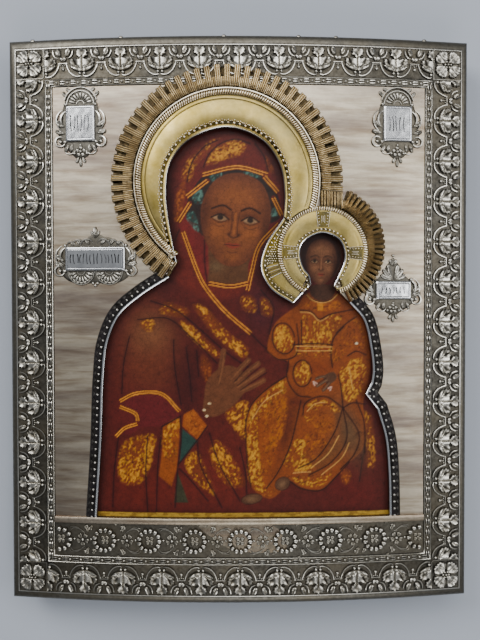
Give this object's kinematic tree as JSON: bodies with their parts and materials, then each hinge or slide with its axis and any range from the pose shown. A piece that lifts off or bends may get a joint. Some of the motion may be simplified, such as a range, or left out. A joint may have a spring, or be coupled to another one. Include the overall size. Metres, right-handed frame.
{
  "type": "icon panel",
  "caption": "Bowed wooden icon board under a chased silver cover with a leaf border, gilt rayed halos and name plates round a painted mother and child.",
  "frame": {"origin": "centre of the bounding box on the surface that the panel lies on, at the back edges of the board", "axes": "+X across the panel, +Y towards its top edge, +Z out of its front, lying on its back"},
  "size_m": [0.2574, 0.313, 0.0423],
  "materials": {
    "painted_wood": "old tempera painting under darkened varnish on an aged wooden board",
    "chased_silver": "aged chased silver, darkened in the hollows",
    "gilt_silver": "worn pale gilding on silver",
    "bright_silver": "smooth bright silver, engraved with fine strokes"
  },
  "bodies": {
    "root": {"icon_board": "painted_wood", "silver_cover": "chased_silver", "large_halo": "gilt_silver", "small_halo": "gilt_silver", "name_plate_upper_left": "bright_silver", "name_plate_upper_right": "bright_silver", "name_plate_left": "bright_silver", "name_plate_right": "bright_silver"}
  },
  "joints": []
}
